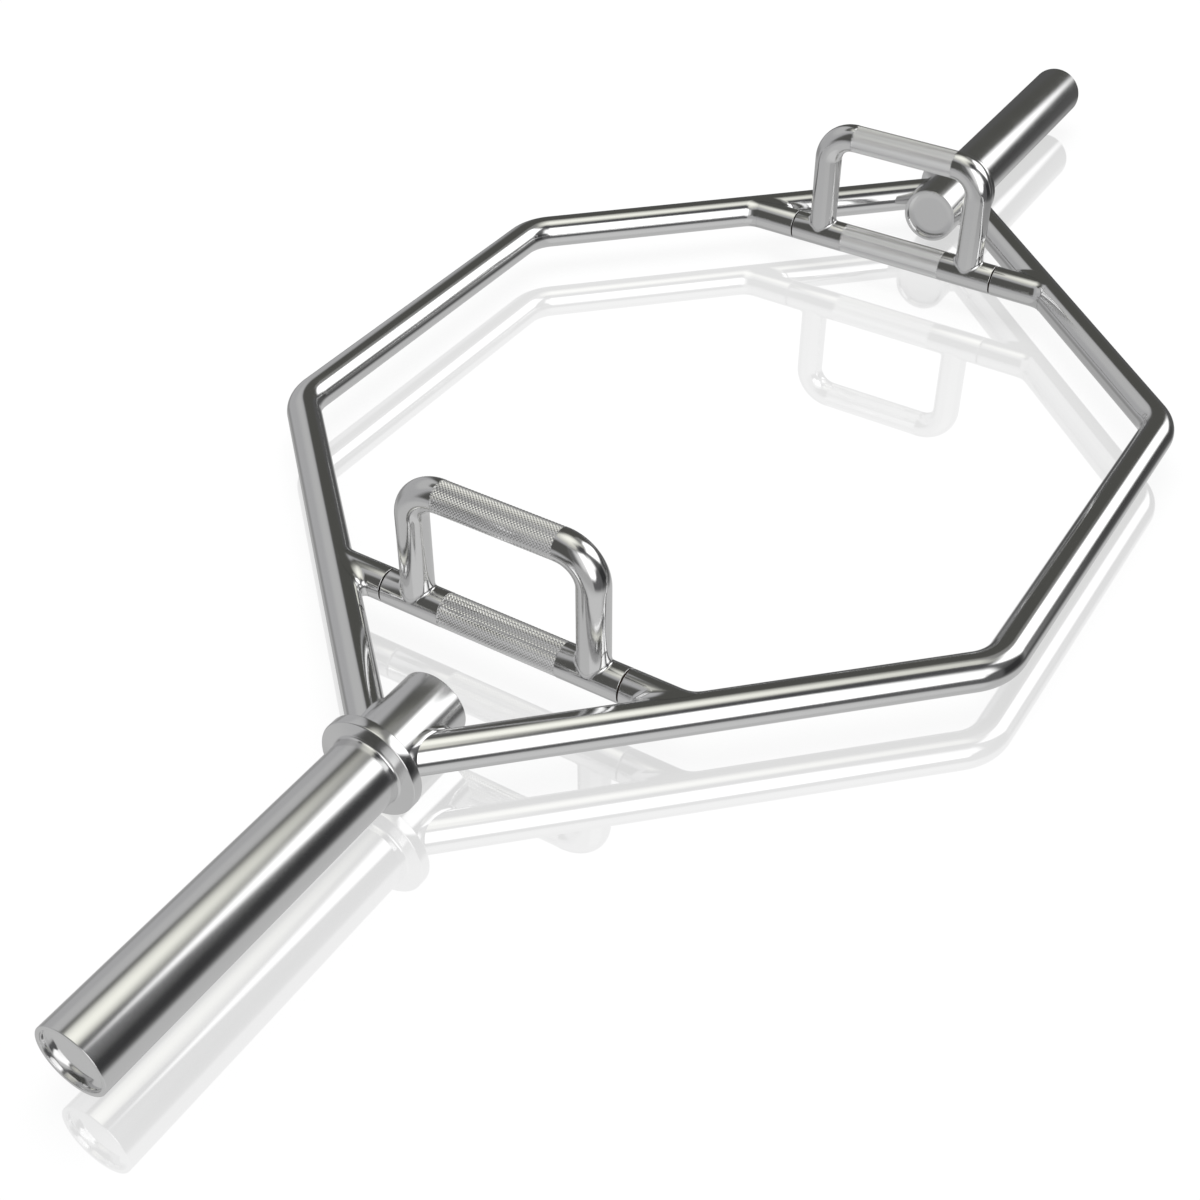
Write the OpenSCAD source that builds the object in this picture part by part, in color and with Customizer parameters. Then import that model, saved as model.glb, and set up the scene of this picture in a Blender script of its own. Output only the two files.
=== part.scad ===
// Hex trap bar with two swivelling handle units.
// The frame is a hexagon of bent tube welded to two sleeve tubes. Each handle unit is a straight grip
// tube with a raised grip welded over it, and it swivels on an axle held between two welded stubs.
// X runs along the sleeves, Y is the way the lifter faces, and Z=0 is the floor under the collars.

/* [Bar] */
// Length from tip to tip of the two sleeves
bar_len = 1415; // [1380:5:1600]
// Outside diameter of the sleeve tube, which the plates slide on
sleeve_d = 50; // [46:0.5:52]
// Wall of the sleeve tube
sleeve_wall = 3; // [2:0.1:5]
// Space between the inner ends of the two sleeve tubes
hub_gap = 773; // [766:1:790]
// Bevel on the rims of the sleeve tube
rim_bevel = 0.5; // [0.2:0.1:1]
// How much the sleeve tube's radius drops at the shoulder under the collar's weld
hub_relief = 0.3; // [0.1:0.05:0.5]

/* [Collars] */
// Space between the inboard faces of the two collars, where the frame tubes aim
collar_gap = 896; // [888:1:920]
// Outside diameter of the collar, which is what the bar lies on
collar_d = 72; // [64:1:90]
// Width of the collar's land
collar_w = 8; // [5:0.5:14]
// How far the collar's outboard face swells towards the sleeve
collar_swell = 2.6; // [1:0.1:4]
// Radius of the hollow weld between the collar and the sleeve
collar_weld = 1.8; // [1:0.1:3]
// Round on the collar's two edges
collar_round = 0.8; // [0.4:0.1:1.5]

/* [Tube caps] */
// Depth of a cap's face below the tube's rim
cap_recess = 4; // [3:0.5:10]
// Thickness of a cap's disc
cap_t = 5; // [3:0.5:10]
// Radius of the hollow corner between a cap's face and the tube
cap_cove = 2.4; // [1:0.1:2.8]
// Flat lip left on top of the hollow corner
cap_lip = 0.5; // [0.3:0.1:1]

/* [Frame] */
// Outside diameter of the frame tube
rail_d = 27; // [24:0.5:30]
// Wall of the frame tube
rail_wall = 4; // [2:0.1:5]
// Distance between the centre lines of the two long sides
frame_w = 587; // [560:1:640]
// Length of a long side between the sharp corners of its centre line
side_len = 326; // [300:1:340]
// Bend radius of the frame tube, at its centre line
rail_bend = 40; // [30:1:60]
// How far the wall of any bend stands proud of a straight run's wall, outside and inside
bend_swell = 0.2; // [0.15:0.05:0.4]
// How far a straight run reaches into a bend
bend_lap = 0.5; // [0.3:0.1:1]

/* [Handles] */
// Distance between the centre lines of the two handles
handle_gap = 615; // [606:1:620]
// Outside diameter of the grip tubes and of the stubs
grip_d = 25.5; // [23:0.1:26.5]
// Wall of the grip tubes and of the stubs
grip_wall = 3; // [2.5:0.1:4]
// Length of the turning grip tube
grip_len = 191; // [180:1:192]
// Width of the seam between a grip tube and a stub
seam = 1.2; // [1:0.1:2]
// Bevel on the tube ends at the seam
seam_bevel = 0.4; // [0.2:0.1:0.8]
// Outside diameter of the raised grip's tube
loop_d = 23.4; // [20:0.1:25]
// Wall of the raised grip's tube
loop_wall = 2.5; // [2:0.1:4]
// Height of the raised grip's centre line over the axle
loop_h = 96.5; // [70:0.5:100]
// Distance between the centre lines of the raised grip's two legs
loop_span = 142; // [120:0.2:150]
// Bend radius of the raised grip, at its centre line
loop_bend = 24; // [20:1:40]

/* [Swivel] */
// Diameter of the axle
axle_d = 14; // [10:0.5:15]
// Depth of the axle's seat in each stub plug
axle_seat = 14; // [8:1:15]
// Length of a stub plug
plug_len = 17; // [16:1:20]
// Length of a bush inside the grip tube
bush_len = 20; // [10:1:40]
// Outside diameter of a bush's flange
flange_d = 23; // [21.5:0.1:23]
// Thickness of a bush's flange
flange_t = 0.8; // [0.5:0.1:0.9]
// Radial clearance of a seated piece
seat_gap = 0.03; // [0.01:0.01:0.05]
// Radial clearance between the axle and a bush
run_gap = 0.06; // [0.03:0.01:0.1]
// Bevel on the axle's ends
axle_bevel = 1; // [0.5:0.1:2]

/* [Welds] */
// Width on each tube of the hollow weld between a frame tube and a sleeve tube
hub_weld = 3; // [2:0.1:5]
// Width on each tube of the hollow weld between a stub and a frame tube
stub_weld = 6; // [2:0.1:7]
// Width on each tube of the hollow weld between a raised grip's leg and its grip tube
loop_weld = 2; // [1:0.1:4]
// Steps round a weld
weld_steps = 32; // [24:4:48]
// Steps across a weld's hollow face
weld_arcs = 4; // [3:1:6]

/* [Hidden] */
$fn = 96;

// The sleeve's axis, the handles' axes and the frame tubes' centre lines lie in one level plane
axis_h = collar_d / 2;
sleeve_r = sleeve_d / 2;
hub_r = sleeve_r - hub_relief;
bore_r = sleeve_r - sleeve_wall;
tip_x = bar_len / 2;
hub_x = hub_gap / 2;
collar_x = collar_gap / 2;
// Outboard end of the collar's weld, where the plates' part of the sleeve begins
collar_len = collar_w + collar_swell + collar_weld;

rail_r = rail_d / 2;
side_y = frame_w / 2;
corner_x = side_len / 2;
// Angle between a frame tube's slanted run and the sleeve
slant = atan2(side_y, collar_x - corner_x);
// What the bend takes off each straight run, from the sharp corner
bend_cut = rail_bend * tan(slant / 2);
slant_len = norm([collar_x - corner_x, side_y]) - bend_cut;

handle_x = handle_gap / 2;
grip_r = grip_d / 2;
grip_bore_r = grip_r - grip_wall;
grip_end = grip_len / 2;
stub_end = grip_end + seam;
// Where a handle's axis crosses a frame tube's centre line
stub_root = (collar_x - handle_x) * tan(slant);
loop_r = loop_d / 2;
leg_y = loop_span / 2;
axle_r = axle_d / 2;

chrome = "#c9c9c6";
cap_chrome = "#b4b4b1";
steel = "#8f9194";
bronze = "#a9824c";
bead = "#d8d8d4";

// A tube along +Z with bevelled rims
module tube(r, wall, len, bevel) {
    inner = r - wall;
    rotate_extrude() polygon([
        [inner, bevel], [inner + bevel, 0], [r - bevel, 0], [r, bevel],
        [r, len - bevel], [r - bevel, len], [inner + bevel, len], [inner, len - bevel]
    ]);
}

// Places a shape made along +Z on the sleeve's axis, running outboard from x
module on_sleeve(x) {
    translate([x, 0, axis_h]) rotate([0, 90, 0]) children();
}

// Places a shape made along +Z on the right handle's axis, running forward from y
module on_handle(y) {
    translate([handle_x, y, axis_h]) rotate([-90, 0, 0]) children();
}

module to_left() {
    mirror([1, 0, 0]) children();
}

module to_rear() {
    mirror([0, 1, 0]) children();
}

// A straight run of bent tube along +Z, from z to its end
module run(r, wall, z, end) {
    translate([0, 0, z]) difference() {
        cylinder(r = r, h = end - z);
        translate([0, 0, -1]) cylinder(r = r - wall, h = end - z + 2);
    }
}

// A bend of tube about Z, from X through the angle. Its wall is a little thicker than a straight run's,
// as in a real bend, and the straight runs end inside it.
module bend(r, wall, radius, angle) {
    rotate_extrude(angle = angle) translate([radius, 0]) difference() {
        circle(r = r + bend_swell);
        circle(r = r - wall - bend_swell);
    }
}

// Places a shape made along +Z on the front frame tube's right slanted run, running from the sleeve
module on_slant() {
    translate([collar_x, 0, axis_h]) rotate([0, 0, 180 - slant]) rotate([0, 90, 0]) children();
}

// A point on a cylinder of radius r about tube A's axis, where it lies d away from tube B's axis.
// Tube B runs along X, and tube A leaves the origin at the angle tilt from X, towards +Y.
function meet(r, d, tilt, turn) =
    let (along = (r * cos(turn) * cos(tilt) + sqrt(d * d - pow(r * sin(turn), 2))) / sin(tilt))
    along * [cos(tilt), sin(tilt), 0] + r * (cos(turn) * [sin(tilt), -cos(tilt), 0] + sin(turn) * [0, 0, 1]);

// The same point taken straight along tube A's face from p, at radius r
function foot_a(p, r, tilt) =
    let (axis = [cos(tilt), sin(tilt), 0], base = (p * axis) * axis)
    base + r * (p - base) / norm(p - base);

// The point of tube B's face, of radius r, that is nearest to p
function foot_b(p, r) = let (d = norm([p.y, p.z])) [p.x, p.y * r / d, p.z * r / d];

// One section of a hollow weld: a ball that touches both tubes is at the centre of its arc, and its
// radius follows the angle between their faces, so that the weld covers about leg on each of them
function weld_section(ra, rb, leg, tilt, turn) =
    let (
        skin = 0.08,
        edge = meet(ra, rb, tilt, turn),
        normal_a = (edge - foot_a(edge, 0.001, tilt)) / (ra - 0.001),
        normal_b = [0, edge.y, edge.z] / rb,
        ball = leg * tan(90 - acos(normal_a * normal_b) / 2),
        centre = meet(ra + ball, rb + ball, tilt, turn),
        a = foot_a(centre, ra + skin, tilt) - centre,
        b = foot_b(centre, rb + skin) - centre,
        sweep = acos(a * b / (norm(a) * norm(b))),
        root = meet(ra + skin, rb + skin, tilt, turn),
        mid = foot_b((root + centre + b) / 2, rb + skin)
    )
    concat(
        [for (k = [0:weld_arcs])
            let (f = k / weld_arcs)
            centre + (sin((1 - f) * sweep) * a + sin(f * sweep) * b) / sin(sweep)],
        [mid, root]
    );

// A hollow weld all round the place where tube A, of radius ra, ends on tube B, of radius rb
module weld_ring(ra, rb, leg, tilt) {
    rows = weld_steps;
    cols = weld_arcs + 3;
    points = [for (i = [0:rows - 1]) each weld_section(ra, rb, leg, tilt, 360 * i / rows)];
    faces = [for (i = [0:rows - 1], j = [0:cols - 1])
        let (i2 = (i + 1) % rows, j2 = (j + 1) % cols)
        each [
            [i * cols + j, i2 * cols + j, i2 * cols + j2],
            [i * cols + j, i2 * cols + j2, i * cols + j2]
        ]
    ];
    polyhedron(points = points, faces = faces, convexity = 6);
}

// Sleeve tube: plates slide on its outer part, and the frame is welded to its inner part, the hub
module sleeve() {
    b = rim_bevel;
    shoulder = collar_x + collar_len - hub_x;
    tip = tip_x - hub_x;
    on_sleeve(hub_x) rotate_extrude() polygon([
        [bore_r, b], [bore_r + b, 0], [hub_r - b, 0], [hub_r, b], [hub_r, shoulder],
        [sleeve_r, shoulder], [sleeve_r, tip - b], [sleeve_r - b, tip], [bore_r + b, tip], [bore_r, tip - b]
    ]);
}

module left_sleeve() {
    color(chrome) to_left() sleeve();
}

module right_sleeve() {
    color(chrome) sleeve();
}

// Collar: a turned ring on the sleeve tube that stops the plates
module collar() {
    r = collar_d / 2;
    c = collar_round;
    bore = hub_r + seat_gap;
    neck = sleeve_r + collar_weld;
    on_sleeve(collar_x) rotate_extrude() difference() {
        polygon([
            [bore, 0], [r - c, 0], [r - 0.3 * c, 0.3 * c], [r, c],
            [r, collar_w - c], [r - 0.3 * c, collar_w - 0.3 * c], [r - c, collar_w],
            [neck, collar_w + collar_swell], [neck, collar_len], [bore, collar_len]
        ]);
        translate([neck, collar_len]) circle(r = collar_weld);
    }
}

module left_collar() {
    color(chrome) to_left() collar();
}

module right_collar() {
    color(chrome) collar();
}

// Tube cap: a disc with a hollow corner up to the tube's wall, its face on Z=0 looking along +Z
module cap() {
    r = bore_r - seat_gap;
    inner = r - cap_lip - cap_cove;
    rotate_extrude() difference() {
        translate([0, -cap_t]) square([r, cap_t + cap_cove]);
        square([inner, cap_cove + 1]);
        translate([inner, cap_cove]) circle(r = cap_cove);
    }
}

module left_end_cap() {
    color(cap_chrome) to_left() on_sleeve(tip_x - cap_recess) cap();
}

module right_end_cap() {
    color(cap_chrome) on_sleeve(tip_x - cap_recess) cap();
}

module left_hub_cap() {
    color(cap_chrome) to_left() on_sleeve(hub_x + cap_recess) mirror([0, 0, 1]) cap();
}

module right_hub_cap() {
    color(cap_chrome) on_sleeve(hub_x + cap_recess) mirror([0, 0, 1]) cap();
}

// Frame tube: one bent length of tube, its ends cut to sit on the two sleeve tubes
module front_rail() {
    straight = corner_x - bend_cut;
    color(chrome) {
        translate([0, side_y, axis_h]) rotate([0, 90, 0])
            run(rail_r, rail_wall, -straight - bend_lap, straight + bend_lap);
        for (s = [0, 1]) mirror([s, 0, 0]) {
            translate([straight, side_y - rail_bend, axis_h]) rotate([0, 0, 90 - slant])
                bend(rail_r, rail_wall, rail_bend, slant);
            difference() {
                on_slant() run(rail_r, rail_wall, 0, slant_len + bend_lap);
                on_sleeve(hub_x) cylinder(r = hub_r, h = tip_x - hub_x);
            }
        }
    }
}

module rear_rail() {
    to_rear() front_rail();
}

// Stub: a short tube from a frame tube to the seam, its end cut to sit on the frame tube
module stub() {
    difference() {
        on_handle(stub_end) tube(grip_r, grip_wall, stub_root - stub_end, seam_bevel);
        on_slant() cylinder(r = rail_r, h = slant_len);
    }
}

module right_front_stub() {
    color(chrome) stub();
}

module right_rear_stub() {
    color(chrome) to_rear() stub();
}

module left_front_stub() {
    color(chrome) to_left() stub();
}

module left_rear_stub() {
    color(chrome) to_left() to_rear() stub();
}

// Stub plug: closes the stub's end and holds one end of the axle in a blind seat
module plug() {
    difference() {
        on_handle(stub_end) cylinder(r = grip_bore_r - seat_gap, h = plug_len);
        on_handle(stub_end - 1) cylinder(r = axle_r + seat_gap, h = axle_seat + 1);
        on_slant() cylinder(r = rail_r, h = slant_len);
    }
}

module right_front_plug() {
    color(steel) plug();
}

module right_rear_plug() {
    color(steel) to_rear() plug();
}

module left_front_plug() {
    color(steel) to_left() plug();
}

module left_rear_plug() {
    color(steel) to_left() to_rear() plug();
}

// Axle: a bar from one stub plug to the other, through the grip tube
module axle() {
    half = stub_end + axle_seat - seat_gap;
    on_handle(-half) rotate_extrude() polygon([
        [0, 0], [axle_r - axle_bevel, 0], [axle_r, axle_bevel],
        [axle_r, 2 * half - axle_bevel], [axle_r - axle_bevel, 2 * half], [0, 2 * half]
    ]);
}

module left_axle() {
    color(steel) to_left() axle();
}

module right_axle() {
    color(steel) axle();
}

// Bush: pressed into the end of the grip tube, its flange in the seam
module bush() {
    difference() {
        union() {
            on_handle(grip_end - bush_len) cylinder(r = grip_bore_r - seat_gap, h = bush_len);
            on_handle(grip_end) cylinder(r = flange_d / 2, h = flange_t);
        }
        on_handle(grip_end - bush_len - 1) cylinder(r = axle_r + run_gap, h = bush_len + flange_t + 2);
    }
}

module right_front_bush() {
    color(bronze) bush();
}

module right_rear_bush() {
    color(bronze) to_rear() bush();
}

module left_front_bush() {
    color(bronze) to_left() bush();
}

module left_rear_bush() {
    color(bronze) to_left() to_rear() bush();
}

// Grip tube: the low grip, which turns on the axle
module grip() {
    on_handle(-grip_end) tube(grip_r, grip_wall, grip_len, seam_bevel);
}

module left_grip() {
    color(chrome) to_left() grip();
}

module right_grip() {
    color(chrome) grip();
}

// Raised grip: one bent length of tube, its legs cut to sit on the grip tube
module loop() {
    leg = loop_h - loop_bend;
    top = leg_y - loop_bend;
    translate([0, 0, loop_h]) on_handle(0) run(loop_r, loop_wall, -top - bend_lap, top + bend_lap);
    for (s = [0, 1]) mirror([0, s, 0]) {
        translate([handle_x, top, axis_h + leg]) rotate([90, 0, 90])
            bend(loop_r, loop_wall, loop_bend, 90);
        difference() {
            translate([handle_x, leg_y, axis_h]) run(loop_r, loop_wall, 0, leg + bend_lap);
            on_handle(-grip_end) cylinder(r = grip_r, h = grip_len);
        }
    }
}

module left_loop() {
    color(chrome) to_left() loop();
}

module right_loop() {
    color(chrome) loop();
}

// Welds between the two frame tubes and one sleeve tube
module hub_welds() {
    for (s = [0, 1]) mirror([0, s, 0]) translate([collar_x, 0, axis_h]) mirror([1, 0, 0])
        weld_ring(rail_r, hub_r, hub_weld, slant);
}

module left_hub_welds() {
    color(bead) to_left() hub_welds();
}

module right_hub_welds() {
    color(bead) hub_welds();
}

// Welds between two stubs and the frame tubes
module stub_welds() {
    for (s = [0, 1]) mirror([0, s, 0]) translate([handle_x, stub_root, axis_h])
        rotate([0, 0, -slant]) mirror([0, 1, 0]) weld_ring(grip_r, rail_r, stub_weld, 90 - slant);
}

module left_stub_welds() {
    color(bead) to_left() stub_welds();
}

module right_stub_welds() {
    color(bead) stub_welds();
}

// Welds between a raised grip's two legs and its grip tube
module loop_welds() {
    for (s = [0, 1]) mirror([0, s, 0]) translate([handle_x, leg_y, axis_h])
        rotate([90, 0, 90]) weld_ring(loop_r, grip_r, loop_weld, 90);
}

module left_loop_welds() {
    color(bead) to_left() loop_welds();
}

module right_loop_welds() {
    color(bead) loop_welds();
}

left_sleeve();
right_sleeve();
left_collar();
right_collar();
left_end_cap();
right_end_cap();
left_hub_cap();
right_hub_cap();
front_rail();
rear_rail();
left_front_stub();
left_rear_stub();
right_front_stub();
right_rear_stub();
left_front_plug();
left_rear_plug();
right_front_plug();
right_rear_plug();
left_axle();
right_axle();
left_front_bush();
left_rear_bush();
right_front_bush();
right_rear_bush();
left_grip();
right_grip();
left_loop();
right_loop();
left_hub_welds();
right_hub_welds();
left_stub_welds();
right_stub_welds();
left_loop_welds();
right_loop_welds();
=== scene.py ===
# %% [markdown]
# # A hex trap bar in polished chrome
# The bar is a hexagon of bent steel tube, welded to two sleeve tubes that carry the plates. Two handle
# units turn inside it, as the seams beside their grips suggest: each is a grip tube on an axle, with a
# raised grip welded over it. Nearly all that shows is chrome plated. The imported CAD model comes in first
# as a fixed frame. It says where each piece is, so every new piece below is made at its real place, in
# metres.

import math

import bmesh
import bpy
from mathutils import Matrix, Vector


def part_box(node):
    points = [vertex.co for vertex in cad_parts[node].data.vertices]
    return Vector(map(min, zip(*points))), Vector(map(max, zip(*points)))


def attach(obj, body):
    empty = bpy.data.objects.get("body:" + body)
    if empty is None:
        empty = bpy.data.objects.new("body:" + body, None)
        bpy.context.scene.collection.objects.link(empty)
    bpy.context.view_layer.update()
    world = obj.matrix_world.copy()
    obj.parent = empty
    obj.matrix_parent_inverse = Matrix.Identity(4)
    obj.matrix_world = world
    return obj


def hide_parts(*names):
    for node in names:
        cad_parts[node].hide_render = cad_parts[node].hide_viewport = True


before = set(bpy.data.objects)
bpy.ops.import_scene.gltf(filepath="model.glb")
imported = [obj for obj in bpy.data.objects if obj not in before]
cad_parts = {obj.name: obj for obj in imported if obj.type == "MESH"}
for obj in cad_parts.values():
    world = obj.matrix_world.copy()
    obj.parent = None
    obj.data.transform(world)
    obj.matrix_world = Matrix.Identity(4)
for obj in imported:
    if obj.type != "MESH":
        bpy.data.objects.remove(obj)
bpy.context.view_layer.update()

# %% [markdown]
# The camera stands where the photograph was taken from: left of the bar and a little behind it, about
# 80 cm up. Its place and its lens were worked out from the edges of the straight tubes in the picture.
# A camera looks along its own -Z, and to_track_quat turns it there without any roll.

# %% Camera
bpy.ops.object.select_all(action="DESELECT")
bpy.ops.object.camera_add(location=(-1.0203, -0.5234, 0.8097))
camera = bpy.context.object
aim = Vector((-0.2071, -0.0125, 0.0))
camera.rotation_mode = "QUATERNION"
camera.rotation_quaternion = (aim - camera.location).to_track_quat("-Z", "Y")
camera.data.lens = 52.52
camera.data.sensor_width = 36
camera.data.clip_end = 100
bpy.context.scene.camera = camera
print("camera stands", round((aim - camera.location).length, 3), "m from its aim on the floor")

# %% [markdown]
# Colours are written as hex values, as in any paint program, and one function turns them to the linear
# light that Blender works in. One more function adds a shader node with its settings and its links, so
# that a material reads from top to bottom like a list of ingredients.


# %% Colours and nodes
def colour(code, times=1.0):
    """An sRGB hex colour as linear light, brighter or darker by a factor."""
    parts = [int(code[i : i + 2], 16) / 255 for i in (1, 3, 5)]
    light = [c / 12.92 if c <= 0.04045 else ((c + 0.055) / 1.055) ** 2.4 for c in parts]
    return [times * c for c in light] + [1.0]


def add(tree, kind, sockets=None, **settings):
    """Adds one node. A socket is given a value, or another node's output to follow."""
    node = tree.nodes.new(kind)
    for name, value in settings.items():
        setattr(node, name, value)
    for socket, source in (sockets or {}).items():
        if isinstance(source, bpy.types.NodeSocket):
            tree.links.new(source, node.inputs[socket])
        else:
            node.inputs[socket].default_value = source
    return node


def new_material(name):
    """A material with only its output node, and its node tree."""
    material = bpy.data.materials.new(name)
    material.use_nodes = True
    material.node_tree.nodes.clear()
    output = material.node_tree.nodes.new("ShaderNodeOutputMaterial")
    return material, material.node_tree, output


# %% [markdown]
# ## What the chrome reflects
# Chrome has almost no colour of its own. What the eye reads as chrome is the room that it mirrors, so
# the room is made first. A photographer builds it from soft boxes, black flags and grey paper. Here it
# is a large sphere whose inside is painted in patches, each placed by its compass direction and its
# height above the horizon. Only the metal's reflections see it. The camera and the mirror in the floor
# see the plain white world. The patches were set by trial, until the tubes showed nearly the same bands
# as in the photograph, so they suit that one view and are a guess for every other.

# %% The room that the chrome mirrors
CHROME = "#E3E3E3"
ROOM_RADIUS = 20.0
chrome_light = colour(CHROME)[0]
room, tree, output = new_material("studio_room_paint")
path = add(tree, "ShaderNodeLightPath").outputs
# A ray that the floor's mirror sent up and a tube sent on: for it the room hangs upside down
later = add(tree, "ShaderNodeMath", {0: path["Glossy Depth"], 1: 1.5}, operation="GREATER_THAN").outputs[0]
below = add(tree, "ShaderNodeMath", {0: later, 1: path["Is Singular Ray"]}, operation="MULTIPLY").outputs[0]
upright = add(tree, "ShaderNodeMath", {0: below, 1: -2.0, 2: 1.0}, operation="MULTIPLY_ADD").outputs[0]
place = add(tree, "ShaderNodeTexCoord").outputs["Object"]
parts = add(tree, "ShaderNodeSeparateXYZ", {0: place}).outputs
up = add(tree, "ShaderNodeMath", {0: parts[2], 1: upright}, operation="MULTIPLY").outputs[0]
place = add(tree, "ShaderNodeCombineXYZ", {0: parts[0], 1: parts[1], 2: up}).outputs[0]
look = add(tree, "ShaderNodeVectorMath", {0: place}, operation="NORMALIZE").outputs[0]
parts = add(tree, "ShaderNodeSeparateXYZ", {0: look}).outputs
rise = add(tree, "ShaderNodeMath", {0: parts[2]}, operation="ARCSINE").outputs[0]
height = add(tree, "ShaderNodeMath", {0: rise}, operation="DEGREES").outputs[0]
turn = add(tree, "ShaderNodeMath", {0: parts[1], 1: parts[0]}, operation="ARCTAN2").outputs[0]
compass = add(tree, "ShaderNodeMath", {0: turn}, operation="DEGREES").outputs[0]


def fade(value, low, high, start, end):
    """A smooth step from start to end while the value goes from low to high."""
    sockets = {"Value": value, "From Min": low, "From Max": high, "To Min": start, "To Max": end}
    return add(tree, "ShaderNodeMapRange", sockets, interpolation_type="SMOOTHSTEP").outputs[0]


def paint(below, mask, tone):
    """Lays a tone over what is painted so far. The tone is what the chrome shows of it."""
    sockets = {0: mask, 6: below, 7: tone}
    return add(tree, "ShaderNodeMix", sockets, data_type="RGBA", clamp_factor=True).outputs[2]


def shown(code, times=1.0):
    """The light that a patch needs, so that the chrome, which dims it, shows this colour."""
    return colour(code, times / chrome_light)


def patch(below, left, right, low, high, tone, soft, lean):
    """A soft-edged patch between two compass directions and two heights, in degrees.

    lean moves its left edge by so many degrees for each degree of height."""
    start = compass
    if lean:
        slide = add(tree, "ShaderNodeMath", {0: height, 1: -lean}, operation="MULTIPLY").outputs[0]
        start = add(tree, "ShaderNodeMath", {0: compass, 1: slide}, operation="ADD").outputs[0]
    mask = fade(start, left - soft, left + soft, 0.0, 1.0)
    for value, middle, before in ((compass, right, 1.0), (height, low, 0.0), (height, high, 1.0)):
        edge = fade(value, middle - soft, middle + soft, before, 1.0 - before)
        mask = add(tree, "ShaderNodeMath", {0: mask, 1: edge}, operation="MULTIPLY").outputs[0]
    return paint(below, mask, tone)


def patches(below, rows):
    """Lays patches one over another. A row is left, right, low, high, colour, times, soft, lean."""
    for left, right, low, high, code, times, soft, lean in rows:
        below = patch(below, left, right, low, high, shown(code, times), soft, lean)
    return below


# Grey walls all round: pale to the left and behind, dark ahead and to the right of the camera
dark_wall_starts = fade(compass, -112.0, -88.0, 0.0, 1.0)
pale_wall_starts = fade(compass, 36.0, 50.0, 0.0, 1.0)
paintwork = paint(shown("#A1A1A1"), dark_wall_starts, shown("#4E4E4E"))
paintwork = paint(paintwork, pale_wall_starts, shown("#A1A1A2"))
paintwork = patches(paintwork, [
    (50, 118, 24, 54, "#AEAEAE", 1.0, 8.0, 0.0),
    (44, 100, -34, -10, "#858585", 1.0, 6.0, 0.0),
    # The wall between the two soft boxes pales upwards
    (-112, -60, 27, 60, "#626263", 1.0, 9.0, 0.0),
    # and is darkest low down, where no light reaches
    (-88, -54, -14, 14, "#303031", 1.0, 6.0, 0.0),
    (-50, -42, -12, 8, "#7A7A7A", 1.0, 4.0, 0.0),
    (-40, -22, -12, 4, "#404040", 1.0, 4.0, 0.0),
    # A dark opening ahead of the camera and one to the left
    (-10, 42, 12, 57, "#4A4A47", 1.0, 4.0, 0.0),
    (136, 190, -6, 53, "#4D4D4B", 1.0, 7.0, 0.0),
    (-190, -166, 2, 50, "#5E5E5E", 1.0, 5.0, 0.0),
    # The upper wall: dark on the camera's right, a shaded cornice on its left
    (-200, -112, 54, 68, "#757574", 1.0, 4.0, 0.0),
    (-200, -136, 57, 68, "#B0B0AC", 1.0, 4.0, 0.0),
    (-122, -62, 54, 86, "#454547", 1.0, 5.0, 0.0),
    (-66, -2, 52, 86, "#8F8F8B", 1.0, 5.0, 0.0),
    (-2, 42, 56, 86, "#6A6A66", 1.0, 4.0, 0.0),
    (34, 104, 51, 66, "#4C4C4A", 1.0, 4.0, 0.0),
    (60, 200, 65, 90, "#B6B6B0", 1.0, 4.0, 0.0),
    (-200, -124, 66, 90, "#C4C3BB", 1.0, 4.0, 0.0),
])
# The ceiling light, a wide cream panel that fades from its middle to 33 degrees away
panel_side = math.radians(15)
panel_height = math.radians(83)
panel = Vector((math.cos(panel_side), math.sin(panel_side), math.tan(panel_height))).normalized()
nearness = add(tree, "ShaderNodeVectorMath", {0: look, 1: panel}, operation="DOT_PRODUCT").outputs["Value"]
away = add(tree, "ShaderNodeMath", {0: nearness}, operation="ARCCOSINE").outputs[0]
away = add(tree, "ShaderNodeMath", {0: away}, operation="DEGREES").outputs[0]
paintwork = paint(paintwork, fade(away, 33.0, 3.0, 0.0, 1.0), shown("#F6F6ED"))
paintwork = patches(paintwork, [
    (-116, -66, 56, 70, "#454547", 1.0, 5.0, 0.0),
    # The soft box ahead on the camera's right and a grey patch beside it. The left edge of each leans
    (-41, -12, 11.5, 53, "#FFFFFF", 1.25, 5.0, -0.68),
    (36, 0, 38, 62, "#7E7E7C", 1.0, 4.0, -1.2),
    # The soft box behind on the camera's right, between a pale patch and a softer glow
    (-160, -130, 3, 46, "#D2D2D2", 1.0, 7.0, 0.0),
    (-144, -110, -4, 52, "#FFFFFF", 1.3, 5.0, 0.0),
    (-114, -93, 14, 44, "#FFFFFF", 1.1, 9.0, 0.0),
    # A dark strip below that one, and a shade that cuts its lower corner
    (-139, -100, -27, -8, "#4E4E4F", 1.0, 4.0, 0.0),
    (-117, -86, -20, 18, "#585859", 1.0, 4.0, 1.0),
])
# The ground, a little brighter below the soft box behind, and darker ahead and to the left
ground = fade(height, -18.0, -34.0, 0.0, 1.0)
paintwork = paint(paintwork, ground, shown("#B1B1B1"))
paintwork = patches(paintwork, [
    (-185, -98, -70, -33, "#BFBFBF", 1.0, 9.0, 0.0),
    (30, 112, -90, -26, "#A0A0A0", 1.0, 9.0, 0.0),
])

glow = add(tree, "ShaderNodeEmission", {"Color": paintwork, "Strength": 1.0}).outputs[0]
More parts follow.
